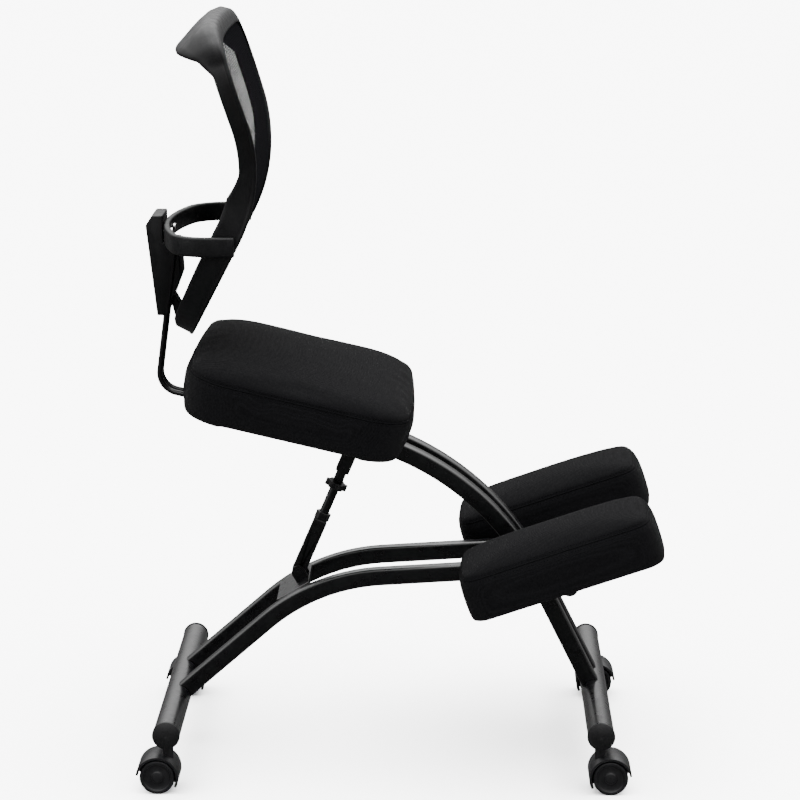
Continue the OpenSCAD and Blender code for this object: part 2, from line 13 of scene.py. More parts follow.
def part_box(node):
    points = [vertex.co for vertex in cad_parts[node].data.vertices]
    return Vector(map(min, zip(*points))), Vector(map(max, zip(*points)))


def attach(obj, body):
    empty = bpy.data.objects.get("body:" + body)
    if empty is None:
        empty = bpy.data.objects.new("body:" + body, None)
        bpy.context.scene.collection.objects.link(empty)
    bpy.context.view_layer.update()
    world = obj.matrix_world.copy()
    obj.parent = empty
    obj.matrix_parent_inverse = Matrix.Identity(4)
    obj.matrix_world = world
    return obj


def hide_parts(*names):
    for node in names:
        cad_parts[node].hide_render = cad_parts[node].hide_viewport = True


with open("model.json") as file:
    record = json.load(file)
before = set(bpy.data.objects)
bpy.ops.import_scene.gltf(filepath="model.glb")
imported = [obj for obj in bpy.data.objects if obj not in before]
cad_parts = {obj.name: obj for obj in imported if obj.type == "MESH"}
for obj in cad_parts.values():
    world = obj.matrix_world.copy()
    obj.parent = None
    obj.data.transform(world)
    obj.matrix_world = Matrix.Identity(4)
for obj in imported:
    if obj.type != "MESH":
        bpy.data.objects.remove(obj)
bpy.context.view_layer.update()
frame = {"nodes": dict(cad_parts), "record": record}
nodes = frame["nodes"]

MM = 0.001
bar_low, bar_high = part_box("rear_crossbar")
BAR_X = (bar_low.x + bar_high.x) / 2


def at(x, y, z):
    """A point in the row frame from millimetres, with X measured from the rear crossbar's axis."""
    return Vector((BAR_X + x * MM, y * MM, z * MM))


# ------------------------------------------------------------------ camera, light and floor

CAMERA_AT = (405.16, -3777.66, 1403.44)
CAMERA_PITCH = math.radians(13.127)
CAMERA_YAW = math.radians(-1.154)
CAMERA_ROLL = math.radians(-0.243)
LENS_MM = 119.56


def add_camera():
    data = bpy.data.cameras.new("camera")
    data.sensor_width = 36.0
    data.lens = LENS_MM
    data.clip_end = 100.0
    camera = bpy.data.objects.new("camera", data)
    bpy.context.scene.collection.objects.link(camera)
    level = math.cos(CAMERA_PITCH)
    forward = Vector((math.sin(CAMERA_YAW) * level, math.cos(CAMERA_YAW) * level, -math.sin(CAMERA_PITCH)))
    right = Vector((math.cos(CAMERA_YAW), -math.sin(CAMERA_YAW), 0.0))
    up = right.cross(forward)
    rolled_right = math.cos(CAMERA_ROLL) * right + math.sin(CAMERA_ROLL) * up
    rolled_up = -math.sin(CAMERA_ROLL) * right + math.cos(CAMERA_ROLL) * up
    turn = Matrix((rolled_right, rolled_up, -forward)).transposed()
    camera.matrix_world = Matrix.Translation(at(*CAMERA_AT)) @ turn.to_4x4()
    bpy.context.scene.camera = camera


def add_softbox(name, place, target, size, power):
    data = bpy.data.lights.new(name, "AREA")
    data.shape = "RECTANGLE"
    data.size = size[0]
    data.size_y = size[1]
    data.energy = power
    light = bpy.data.objects.new(name, data)
    bpy.context.scene.collection.objects.link(light)
    light.location = place
    light.rotation_euler = (Vector(target) - Vector(place)).to_track_quat("-Z", "Y").to_euler()


SKY_TOP = 8.0
SKY_SIDE = 0.25
SUN_STRENGTH = 11.0
SUN_SPREAD = math.radians(70)
SOFTBOX_WATTS = 30.0


def add_studio():
    """A broad overhead light that fades towards the horizon, as under a studio ceiling of softboxes."""
    world = bpy.data.worlds.new("studio")
    world.use_nodes = True
    tree = world.node_tree
    coordinates = tree.nodes.new("ShaderNodeTexCoord")
    split = tree.nodes.new("ShaderNodeSeparateXYZ")
    fade = tree.nodes.new("ShaderNodeMapRange")
    fade.interpolation_type = "SMOOTHSTEP"
    fade.inputs["From Min"].default_value = 0.05
    fade.inputs["From Max"].default_value = 0.85
    fade.inputs["To Min"].default_value = SKY_SIDE
    fade.inputs["To Max"].default_value = SKY_TOP
    background = tree.nodes["Background"]
    background.inputs["Color"].default_value = (1.0, 1.0, 1.0, 1.0)
    tree.links.new(coordinates.outputs["Generated"], split.inputs[0])
    tree.links.new(split.outputs["Z"], fade.inputs["Value"])
    tree.links.new(fade.outputs["Result"], background.inputs["Strength"])
    bpy.context.scene.world = world
    sun = bpy.data.lights.new("overhead", "SUN")
    sun.energy = SUN_STRENGTH
    sun.angle = SUN_SPREAD
    overhead = bpy.data.objects.new("overhead", sun)
    bpy.context.scene.collection.objects.link(overhead)
    add_softbox("front_softbox", (2.8, -1.2, 1.8), (0, 0, 0.5), (1.2, 2.0), SOFTBOX_WATTS)
    add_softbox("rear_softbox", (-2.6, -1.0, 1.6), (0, 0, 0.6), (1.0, 2.0), SOFTBOX_WATTS)


# ------------------------------------------------------------------ materials

class Finish:
    """A material under construction, with object coordinates in metres."""

    def __init__(self, name, colour, roughness, **constants):
        self.material = bpy.data.materials.new(name)
        self.material.use_nodes = True
        self.tree = self.material.node_tree
        self.shader = self.tree.nodes["Principled BSDF"]
        self.shader.inputs["Base Color"].default_value = (*colour, 1.0)
        self.shader.inputs["Roughness"].default_value = roughness
        for socket, value in constants.items():
            self.shader.inputs[socket.replace("_", " ")].default_value = value
        self.place = self.add("ShaderNodeTexCoord").outputs["Object"]

    def add(self, kind, **settings):
        node = self.tree.nodes.new(kind)
        for key, value in settings.items():
            setattr(node, key, value)
        return node

    def feed(self, socket, value):
        if isinstance(value, bpy.types.NodeSocket):
            self.tree.links.new(value, socket)
        else:
            socket.default_value = value

    def scaled(self, factors):
        node = self.add("ShaderNodeMapping")
        self.feed(node.inputs["Vector"], self.place)
        node.inputs["Scale"].default_value = factors
        return node.outputs["Vector"]

    def noise(self, scale, detail=3.0, rough=0.5, vector=None):
        node = self.add("ShaderNodeTexNoise")
        self.feed(node.inputs["Vector"], vector or self.place)
        node.inputs["Scale"].default_value = scale
        node.inputs["Detail"].default_value = detail
        node.inputs["Roughness"].default_value = rough
        return node.outputs["Fac"]

    def cells(self, scale):
        node = self.add("ShaderNodeTexVoronoi")
        self.feed(node.inputs["Vector"], self.place)
        node.inputs["Scale"].default_value = scale
        return node.outputs["Distance"]

    def maths(self, operation, a, b=0.0, c=0.0):
        node = self.add("ShaderNodeMath", operation=operation)
        self.feed(node.inputs[0], a)
        self.feed(node.inputs[1], b)
        self.feed(node.inputs[2], c)
        return node.outputs[0]

    def spread(self, value, low, high, start=0.3, end=0.7):
        """Value moved from the range start-end to the range low-high."""
        node = self.add("ShaderNodeMapRange")
        self.feed(node.inputs["Value"], value)
        node.inputs["From Min"].default_value = start
        node.inputs["From Max"].default_value = end
        node.inputs["To Min"].default_value = low
        node.inputs["To Max"].default_value = high
        return node.outputs["Result"]

    def blend_colours(self, factor, first, second):
        node = self.add("ShaderNodeMix", data_type="RGBA")
        self.feed(node.inputs["Factor"], factor)
        node.inputs[6].default_value = (*first, 1.0)
        node.inputs[7].default_value = (*second, 1.0)
        return node.outputs[2]

    def colour(self, factor, first, second):
        self.feed(self.shader.inputs["Base Color"], self.blend_colours(factor, first, second))

    def roughness(self, value):
        self.feed(self.shader.inputs["Roughness"], value)

    def bump(self, height, distance, strength=1.0):
        node = self.add("ShaderNodeBump")
        node.inputs["Strength"].default_value = strength
        node.inputs["Distance"].default_value = distance
        self.feed(node.inputs["Height"], height)
        self.feed(self.shader.inputs["Normal"], node.outputs["Normal"])

    def facing_up(self):
        """1 on faces that look up, 0 on the others: where the powder coat gets its painted highlight."""
        split = self.add("ShaderNodeSeparateXYZ")
        self.feed(split.inputs[0], self.add("ShaderNodeNewGeometry").outputs["Normal"])
        return self.spread(split.outputs["Z"], 0.0, 1.0, 0.5, 1.0)


def powder_coat():
    f = Finish("black_powder_coat", (0.001, 0.001, 0.0012), 0.3, Coat_Weight=0.05, Coat_Roughness=0.12,
               Specular_IOR_Level=0.2)
    # Painted highlight: upward faces are painted lighter, mottled by noise, in place of the overhead light's
    # reflection on the paint.
    painted_highlight = f.maths("MULTIPLY", f.facing_up(), f.noise(45.0, 6.0, 0.7))
    f.colour(painted_highlight, (0.0004, 0.0004, 0.0005), (0.0012, 0.0012, 0.0014))
    f.roughness(f.spread(f.noise(70.0, 5.0), 0.24, 0.38))
    f.bump(f.noise(650.0, 2.0), 0.00025, 0.5)
    return f.material


def zinc():
    f = Finish("zinc_plated_steel", (0.5, 0.5, 0.51), 0.35, Metallic=1.0)
    f.colour(f.noise(220.0, 4.0), (0.36, 0.36, 0.38), (0.62, 0.61, 0.58))
    f.roughness(f.spread(f.noise(500.0, 4.0), 0.24, 0.45))
    f.bump(f.noise(1500.0, 2.0), 0.0001, 0.4)
    return f.material


def moulded(name, dark, light, roughness, grain=1300.0):
    """Moulded plastic with a fine spark-eroded grain."""
    f = Finish(name, dark, roughness, Specular_IOR_Level=0.1)
    f.colour(f.noise(35.0, 6.0, 0.65), dark, light)
    f.roughness(f.spread(f.noise(90.0, 5.0), roughness - 0.06, roughness + 0.08))
    grain_height = f.maths("ADD", f.cells(grain), f.noise(2 * grain, 2.0))
    f.bump(grain_height, 0.00012, 0.5)
    return f.material


def woven():
    """Plain-weave upholstery: warp and weft ridges on every side of a cushion, with slubs."""
    f = Finish("black_woven_fabric", (0.004, 0.004, 0.0045), 0.95, Sheen_Weight=0.004, Sheen_Roughness=0.5,
               Specular_IOR_Level=0.02)
    ridges = []
    for direction in "XYZ":
        wave = f.add("ShaderNodeTexWave", wave_type="BANDS", bands_direction=direction)
        f.feed(wave.inputs["Vector"], f.place)
        wave.inputs["Scale"].default_value = 260.0
        wave.inputs["Distortion"].default_value = 1.2
        wave.inputs["Detail"].default_value = 1.0
        ridges.append(wave.outputs["Fac"])
    weave = f.maths("ADD", f.maths("MAXIMUM", ridges[0], ridges[1]), ridges[2])
    slub = f.noise(1.0, 4.0, 0.6, f.scaled((420.0, 90.0, 240.0)))
    height = f.maths("MULTIPLY_ADD", slub, 0.8, weave)
    f.colour(f.spread(height, 0.0, 1.0, 0.5, 2.4), (0.0002, 0.0002, 0.0003), (0.0012, 0.0012, 0.0014))
    f.roughness(f.spread(slub, 0.84, 0.98))
    f.bump(height, 0.0005, 0.7)
    return f.material


def thread():
    f = Finish("black_thread", (0.001, 0.001, 0.001), 0.9, Specular_IOR_Level=0.02)
    f.colour(f.noise(900.0, 3.0), (0.0003, 0.0003, 0.0004), (0.0012, 0.0012, 0.0014))
    f.bump(f.noise(2600.0, 2.0), 0.0003, 0.6)
    return f.material


# Hole spacing of the knit in metres, and the height of its pattern above which there is a hole
KNIT_PITCH = 0.0034
KNIT_CLOSURE = 1.0


def knit():
    """Open knit: rows of small round holes between threads, in the sheet's own UV in metres."""
    f = Finish("black_open_knit", (0.0012, 0.0012, 0.0014), 0.8, Specular_IOR_Level=0.0)
    f.place = f.add("ShaderNodeTexCoord").outputs["UV"]
    split = f.add("ShaderNodeSeparateXYZ")
    f.feed(split.inputs[0], f.place)
    per_hole = math.pi / KNIT_PITCH
    across = f.maths("SINE", f.maths("MULTIPLY", split.outputs["X"], per_hole))
    along = f.maths("SINE", f.maths("MULTIPLY", split.outputs["Y"], per_hole))
    lattice = f.maths("ABSOLUTE", f.maths("MULTIPLY", across, along))
    wobble = f.noise(400.0, 2.0)
    solid = f.maths("LESS_THAN", f.maths("MULTIPLY_ADD", wobble, 0.1, lattice), KNIT_CLOSURE)
    f.feed(f.shader.inputs["Alpha"], solid)
    f.colour(wobble, (0.0008, 0.0008, 0.001), (0.003, 0.003, 0.0033))
    f.bump(f.maths("SUBTRACT", 1.0, lattice), 0.0006, 0.6)
    return f.material


def floor_finish():
    f = Finish("pale_floor", (0.92, 0.92, 0.92), 0.9, Specular_IOR_Level=0.1)
    f.colour(f.noise(3.0, 2.0), (0.915, 0.915, 0.915), (0.925, 0.925, 0.925))
    return f.material


def plywood():
    f = Finish("plywood", (0.5, 0.36, 0.22), 0.7)
    f.colour(f.noise(1.0, 5.0, 0.6, f.scaled((30.0, 260.0, 260.0))), (0.42, 0.28, 0.16), (0.62, 0.47, 0.31))
    f.bump(f.noise(1.0, 4.0, 0.6, f.scaled((60.0, 600.0, 600.0))), 0.0004, 0.5)
    return f.material


PAINT = powder_coat()
ZINC = zinc()
BACK_PLASTIC = moulded("back_plastic", (0.0004, 0.0004, 0.0005), (0.0011, 0.0011, 0.0013), 0.45)
CAP_PLASTIC = moulded("cap_plastic", (0.0008, 0.0008, 0.0009), (0.0024, 0.0024, 0.0026), 0.45, 1000.0)
HOOD_PLASTIC = moulded("hood_plastic", (0.001, 0.001, 0.0012), (0.003, 0.003, 0.0033), 0.38, 900.0)
WHEEL_NYLON = moulded("wheel_nylon", (0.001, 0.001, 0.0012), (0.0028, 0.0028, 0.0031), 0.42, 700.0)
FABRIC = woven()
THREAD = thread()
KNIT = knit()
PLYWOOD = plywood()
BY_SLOT = {
    "black_enamel": PAINT,
    "zinc_steel": ZINC,
    "cap_plastic": CAP_PLASTIC,
    "back_plastic": BACK_PLASTIC,
    "hood_plastic": HOOD_PLASTIC,
    "wheel_nylon": WHEEL_NYLON,
    "fabric": FABRIC,
    "mesh": KNIT,
    "plywood": PLYWOOD,
}


# ------------------------------------------------------------------ mesh building

def build(name, points, faces, material, smooth=True):
    """A new object, shaded smooth unless told otherwise."""
    mesh = bpy.data.meshes.new(name)
    mesh.from_pydata([tuple(p) for p in points], [], faces)
    mesh.validate()
    mesh.update()
    obj = bpy.data.objects.new(name, mesh)
    bpy.context.scene.collection.objects.link(obj)
    mesh.materials.append(material)
    if smooth:
        mesh.polygons.foreach_set("use_smooth", [True] * len(mesh.polygons))
    return obj


def finish_piece(obj, body, slot_name, *replaced):
    """Turns the faces outwards, ties the piece to its body and hides the nodes it replaces. slot_name is not
    used.
    """
    bm = bmesh.new()
    bm.from_mesh(obj.data)
    bmesh.ops.recalc_face_normals(bm, faces=bm.faces)
    bm.to_mesh(obj.data)
    bm.free()
    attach(obj, body)
    if replaced:
        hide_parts(*replaced)
    return obj


def tube_faces(rows, columns, closed):
    """Quads between the rows of a tube, each row a ring of points, with end caps if it is open."""
    faces = []
    for i in range(rows if closed else rows - 1):
        a, b = i * columns, (i + 1) % rows * columns
        for j in range(columns):
            k = (j + 1) % columns
            faces.append((a + j, a + k, b + k, b + j))
    if not closed:
        faces.append(tuple(range(columns - 1, -1, -1)))
        faces.append(tuple((rows - 1) * columns + j for j in range(columns)))
    return faces


def rounded(width, height, radius, corner_steps=4):
    """A rounded rectangle as (u, v), counter-clockwise."""
    points = []
    for k, (su, sv) in enumerate(((1, 1), (-1, 1), (-1, -1), (1, -1))):
        for i in range(corner_steps + 1):
            angle = math.pi / 2 * (k + i / corner_steps)
            u = su * (width / 2 - radius) + radius * math.cos(angle)
            v = sv * (height / 2 - radius) + radius * math.sin(angle)
            points.append((u, v))
    return points


def circle(radius, sides=12):
    turn = 2 * math.pi / sides
    return [(radius * math.cos(turn * i), radius * math.sin(turn * i)) for i in range(sides)]


def sweep(stations, section, closed=False):
    """Points and faces of a section carried along stations of (origin, u axis, v axis), in metres."""
    points = [o + u * (a * MM) + v * (b * MM) for o, u, v in stations for a, b in section]
    return points, tube_faces(len(stations), len(section), closed)


def merged(parts):
    """Several (points, faces) as one."""
    points, faces = [], []
    for some_points, some_faces in parts:
        start = len(points)
        points.extend(some_points)
        faces.extend(tuple(start + i for i in f) for f in some_faces)
    return points, faces


def prism(name, outline, width, bevel, material):
    """An X-Z outline in millimetres, extruded across the chair, with rounded edges."""
    count = len(outline)
    points = [at(x, side * width / 2, z) for side in (-1, 1) for x, z in outline]
    faces = [tuple(range(count)), tuple(range(2 * count - 1, count - 1, -1))]
    faces += [(i, count + i, count + (i + 1) % count, (i + 1) % count) for i in range(count)]
    obj = build(name, points, faces, material, smooth=False)
    bm = bmesh.new()
    bm.from_mesh(obj.data)
    bmesh.ops.recalc_face_normals(bm, faces=bm.faces)
    sharp = [e for e in bm.edges if e.calc_face_angle(0.0) > math.radians(25)]
    bmesh.ops.bevel(bm, geom=sharp, offset=bevel * MM, segments=3, profile=0.5, affect="EDGES",
                    clamp_overlap=True)
    bm.to_mesh(obj.data)
    bm.free()
    obj.data.polygons.foreach_set("use_smooth", [True] * len(obj.data.polygons))
    obj.data.set_sharp_from_angle(angle=math.radians(40))
    return obj


# ------------------------------------------------------------------ rails

def bent_run(start, rise, run_1, bend, turn, run_2, skip, facing=1.0):
    """Stations of a run, a downward bend and a second run in the X-Z plane, starting skip along it.

    rise and turn are degrees, and facing is -1 for a run that goes towards the rear."""
    def frame_at(point, angle):
        along = Vector((facing * math.cos(angle), 0.0, math.sin(angle)))
        return point, Vector((-along.z * facing, 0.0, along.x * facing)), Vector((0.0, facing, 0.0))

    angle = math.radians(rise)
    place = Vector(start)
    step = Vector((facing * math.cos(angle), 0.0, math.sin(angle)))
    stations = [frame_at(place + step * (skip * MM), angle)]
    place = place + step * (run_1 * MM)
    normal = Vector((math.sin(angle) * facing, 0.0, -math.cos(angle)))
    centre = place + normal * (bend * MM)
    bend_steps = max(6, int(turn / 2))
    for i in range(bend_steps + 1):
        a = angle - math.radians(turn) * i / bend_steps
        outward = Vector((-math.sin(a) * facing, 0.0, math.cos(a)))
        stations.append(frame_at(centre + outward * (bend * MM), a))
    last = angle - math.radians(turn)
    step = Vector((facing * math.cos(last), 0.0, math.sin(last)))
    stations.append(frame_at(stations[-1][0] + step * (run_2 * MM), last))
    return stations


RAIL_H = 25.0
RAIL_CORNER = 3.5
RAIL_SKIP = 8.0
LOWER_RAIL_W = 20.0
LOWER_RAIL_Y = 57.25
UPPER_RAIL_W = 24.0
UPPER_RAIL_Y = 29.0
WHEELBASE = 616.0
BAR_Z = 87.4


def add_rail(name, stations, width, body, replaced):
    rail = build(name, *sweep(stations, rounded(RAIL_H, width, RAIL_CORNER)), PAINT)
    rail.data.set_sharp_from_angle(angle=math.radians(50))
    finish_piece(rail, body, "black_enamel", replaced)


for side_name, side in (("left", 1), ("right", -1)):
    lower = bent_run(at(0, side * LOWER_RAIL_Y, BAR_Z), rise=41.0, run_1=177.0, bend=280.0, turn=37.5,
                     run_2=268.0, skip=RAIL_SKIP)
    add_rail("rail_lower_" + side_name, lower, LOWER_RAIL_W, "lower_frame", "lower_rail_" + side_name)
    upper = bent_run(at(WHEELBASE, side * UPPER_RAIL_Y, BAR_Z), rise=63.8, run_1=196.5, bend=400.0, turn=50.3,
                     run_2=215.0, skip=RAIL_SKIP, facing=-1.0)
    add_rail("rail_upper_" + side_name, upper, UPPER_RAIL_W, "seat_frame", "upper_rail_" + side_name)


# ------------------------------------------------------------------ backrest

LUMBAR_R = 230.0
LUMBAR = (136.5 - LUMBAR_R, 885.0)
LOW_LEAN = math.radians(27.5)
TOP_LEAN = math.radians(17.5)
CURVE = LUMBAR_R * (LOW_LEAN + TOP_LEAN)
HALF_OUTLINE = np.array([
    (0, 297), (110, 295), (154, 287), (174, 266), (181, 232), (177, 190), (166, 150), (155, 110),
    (151, 60), (153, 10), (151, -30), (134, -78), (104, -124), (60, -158), (0, -173),
], float)
RIM_DEPTH = (
    (-173, 26), (-150, 35), (-110, 37), (-60, 39), (0, 40), (60, 38), (80, 31), (100, 25), (250, 25),
    (275, 40), (297, 74),
)
RIM_BULGE = ((262, 0), (285, 14), (297, 27))
RIM_HALF = 2.5
LOOP_STEPS = 8


def back_point(y, s, d):
    """A point y across, s up the back's curved profile and d behind it."""
    on_curve = min(max(s, 0.0), CURVE)
    lean = LOW_LEAN - on_curve / LUMBAR_R
    over = s - on_curve
    x = LUMBAR[0] + LUMBAR_R * math.cos(lean) + over * math.sin(lean) - d * math.cos(lean)
    z = LUMBAR[1] - LUMBAR_R * math.sin(lean) + over * math.cos(lean) + d * math.sin(lean)
    return at(x, y, z)


def outline_loop(steps):
    """The back's outline as (y, s), a Catmull-Rom curve through the half outline and its mirror."""
    mirror = HALF_OUTLINE[1:-1][::-1] * (-1, 1)
    ring = np.concatenate([HALF_OUTLINE, mirror])
    points = []
    for i in range(len(ring)):
        a, b, c, d = (ring[(i + k) % len(ring)] for k in (-1, 0, 1, 2))
        for t in np.arange(steps) / steps:
            points.append(0.5 * (2 * b + (c - a) * t + (2 * a - 5 * b + 4 * c - d) * t ** 2
                                 + (3 * b - a - 3 * c + d) * t ** 3))
    return np.array(points)


def outward_normals(loop):
    along = np.roll(loop, -1, 0) - np.roll(loop, 1, 0)
    normals = np.stack([-along[:, 1], along[:, 0]], 1)
    return normals / np.linalg.norm(normals, axis=1)[:, None]


def rim_section(depth):
    """The rim's section as (depth back from the front edge, offset outwards), with a front bead."""
    body = [0.2 + 0.16 * i for i in range(5)]
    outer = [(0.0, 1.2), (0.8, 3.0), (2.6, 3.9), (4.6, 3.4), (6.2, 2.3)]
    outer += [(max(f * depth, 6.6), RIM_HALF) for f in body]
    outer += [(depth - 1.2, RIM_HALF), (depth - 0.2, 1.4)]
    inner = [(depth - 0.2, -1.4), (depth - 1.2, -RIM_HALF)]
    inner += [(max(f * depth, 6.6), -RIM_HALF) for f in reversed(body)]
    inner += [(6.2, -2.3), (4.6, -2.9), (2.6, -3.2), (0.8, -2.6), (0.0, -1.0)]
    return outer + inner


def add_back_frame():
    """The rim: a thin section carried round the outline, deepest at its rolled-back top."""
    loop = outline_loop(LOOP_STEPS)
    normals = outward_normals(loop)
    points = []
    columns = 0
    for (y, s), (normal_y, normal_s) in zip(loop, normals):
        depth = np.interp(s, *zip(*RIM_DEPTH))
        bulge = np.interp(s, *zip(*RIM_BULGE))
        section = rim_section(depth)
        columns = len(section)
        for d, o in section:
            o = o + bulge * math.sin(math.pi * math.sqrt(min(max(d / depth, 0.0), 1.0)))
            points.append(back_point(y + o * normal_y, s + o * normal_s, d))
    rim = build("back_rim", points, tube_faces(len(loop), columns, True), BACK_PLASTIC)
    finish_piece(rim, "backrest", "back_plastic", "back_frame")


MESH_DEPTH = 3.4
MESH_INSET = 1.5
MESH_COLUMNS = 48  # strips of mesh across the back


def add_back_mesh():
    """One sheet from edge to edge inside the rim, with its flat coordinates as UV."""
    loop = outline_loop(LOOP_STEPS)
    inset = loop - outward_normals(loop) * MESH_INSET
    edge = inset[: LOOP_STEPS * (len(HALF_OUTLINE) - 1)][2:-2]
    points, uvs, faces = [], [], []
    for y, s in edge:
        for i in range(MESH_COLUMNS + 1):
            share = 2 * i / MESH_COLUMNS - 1
            points.append(back_point(y * share, s, MESH_DEPTH))
            uvs.append((y * share * MM, s * MM))
    stride = MESH_COLUMNS + 1
    for i in range(len(edge) - 1):
        for j in range(MESH_COLUMNS):
            a = i * stride + j
            faces.append((a, a + 1, a + stride + 1, a + stride))
    sheet = build("back_knit", points, faces, KNIT)
    layer = sheet.data.uv_layers.new(name="metres")
    for corner in sheet.data.loops:
        layer.data[corner.index].uv = uvs[corner.vertex_index]
    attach(sheet, "backrest")
    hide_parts("back_mesh")


YOKE_Z = 762.0
YOKE_H = 28.0
YOKE_T = 9.0
YOKE_HALF = 160.5
YOKE_NOSE = -3.5
YOKE_ARM = 38.0
NOSE_R = 400.0
SHOULDER_R = 52.0
YOKE_END_T = 0.75
YOKE_END_H = 0.9


def add_yoke():
    """The bow round the back: a shallow nose, two shoulders and two arms, with rounded edges."""
    nose_turn = math.asin((YOKE_HALF - SHOULDER_R) / (NOSE_R - SHOULDER_R))
    nose_x = YOKE_NOSE + NOSE_R
    shoulder_x = nose_x - (NOSE_R - SHOULDER_R) * math.cos(nose_turn)
    shoulder_y = YOKE_HALF - SHOULDER_R
    middle_z = YOKE_Z + YOKE_H / 2
    path = []

    def arc(cx, cy, radius, start, end, count):
        for i in range(count + 1):
            a = start + (end - start) * i / count
            out = Vector((math.cos(a), math.sin(a), 0.0))
            path.append((at(cx + radius * out.x, cy + radius * out.y, middle_z), out))

    for f in (1.0, 0.98, 0.5):
        path.append((at(shoulder_x + YOKE_ARM * f, YOKE_HALF, middle_z), Vector((0, 1, 0))))
    arc(shoulder_x, shoulder_y, SHOULDER_R, math.pi / 2, math.pi - nose_turn, 14)
    arc(nose_x, 0.0, NOSE_R, math.pi - nose_turn + 0.03, math.pi + nose_turn - 0.03, 24)
    arc(shoulder_x, -shoulder_y, SHOULDER_R, math.pi + nose_turn, 1.5 * math.pi, 14)
    for f in (0.5, 0.98, 1.0):
        path.append((at(shoulder_x + YOKE_ARM * f, -YOKE_HALF, middle_z), Vector((0, -1, 0))))
    section = rounded(YOKE_T, YOKE_H, 3.2)
    up = Vector((0, 0, 1))
    points, last = [], len(path) - 1
    for i, (place, out) in enumerate(path):
        thin, low = (YOKE_END_T, YOKE_END_H) if i in (0, last) else (1.0, 1.0)
        points += [place + out * (u * MM * thin) + up * (v * MM * low) for u, v in section]
    bow = build("back_bow", points, tube_faces(len(path), len(section), False), BACK_PLASTIC)
    bow.data.set_sharp_from_angle(angle=math.radians(60))
    finish_piece(bow, "backrest", "back_plastic", "back_yoke")


def add_housing():
    """The socket that slides on the back rods, and the cover on its front."""
    face = YOKE_NOSE - YOKE_T / 2 - 0.2
    shell = [
        (-19, 655), (-33, 786), (-24, 800), (face, 800), (face, YOKE_Z - 0.5), (11.5, YOKE_Z - 0.5),
        (11.5, 757), (-2.5, 660), (-6, 655),
    ]
    housing = prism("back_socket", shell, 70.0, 1.8, BACK_PLASTIC)
    finish_piece(housing, "backrest", "back_plastic", "back_housing")
    front = [(-1.5, 666.4), (16, 712), (14, 745), (11.55, 756.8)]
    cover = prism("back_socket_cover", front, 62.0, 1.5, BACK_PLASTIC)
    finish_piece(cover, "backrest", "back_plastic", "housing_cover")


add_back_frame()
add_back_mesh()
add_yoke()
add_housing()


# ------------------------------------------------------------------ cushions

def outline_points(length, width, corner, grow, count_corner=10, count_side=14):
    """A rounded rectangle as (u, v, outward angle), grown by grow, in millimetres."""
    found = []
    half_u, half_v = length / 2 - corner, width / 2 - corner
    radius = corner + grow
    for k, (su, sv) in enumerate(((1, 1), (-1, 1), (-1, -1), (1, -1))):
        for i in range(count_corner):
            a = math.pi / 2 * (k + i / count_corner)
            found.append((su * half_u + radius * math.cos(a), sv * half_v + radius * math.sin(a), a))
        a = math.pi / 2 * (k + 1)
        nu, nv = ((-1, 1), (-1, -1), (1, -1), (1, 1))[k]
        start = (su * half_u, sv * half_v)
        end = (nu * half_u, nv * half_v)
        for i in range(count_side):
            t = i / count_side
            u = start[0] + (end[0] - start[0]) * t + radius * math.cos(a)
            v = start[1] + (end[1] - start[1]) * t + radius * math.sin(a)
            found.append((u, v, a))
    return found


def smooth_share(value, start, end):
    """0 below start, 1 above end, and a smooth step between."""
    t = min(max((value - start) / (end - start), 0.0), 1.0)
    return t * t * (3 - 2 * t)


def cushion_shell(length, width, corner, side, crown, bow, skirt, layers):
    """A closed cushion form, base on z = 0: near-upright sides, bowed ends and a crowned top.

    bow is how far the front and rear bulge at the middle. skirt is (drop, clear across, clear along,
    outer side): how far the edge hangs below the base, outside the hardware there. layers are the
    outline's growth in millimetres at shares of the side's height."""
    drop, clear_across, clear_along, outer = skirt

    def placed(u, v, z):
        share = min(abs(u) / (length / 2), 1.0)
        bulge = math.copysign(bow * share * (1 - min(abs(v) / (width / 2), 1.0) ** 2), u)
        sideways = v * outer if outer else abs(v)
        hang = max(smooth_share(sideways, clear_across, clear_across + 20),
                   smooth_share(abs(u), clear_along, clear_along + 25))
        return (u + bulge, v, z - drop * hang * max(0.0, 1 - z / (0.6 * side)))

    rings = [[placed(u, v, share * side) for u, v, _ in outline_points(length, width, corner, grow)]
             for share, grow in layers]
    top = rings[-1]
    for shrink in (0.94, 0.86, 0.74, 0.58, 0.4, 0.2):
        rise = crown * (1 - shrink ** 2.2)
        rings.append([(u * shrink, v * shrink, side + rise) for u, v, _ in top])
    base = [[(u * shrink, v * shrink, 0.0) for u, v, _ in rings[0]] for shrink in (0.3, 0.7, 0.86)]
    rings = base + rings
    points = [Vector(p) * MM for ring in rings for p in ring]
    return points, tube_faces(len(rings), len(rings[0]), False)


CLOTH_STIFFNESS = 8.0
SWELL_FRAMES = 20


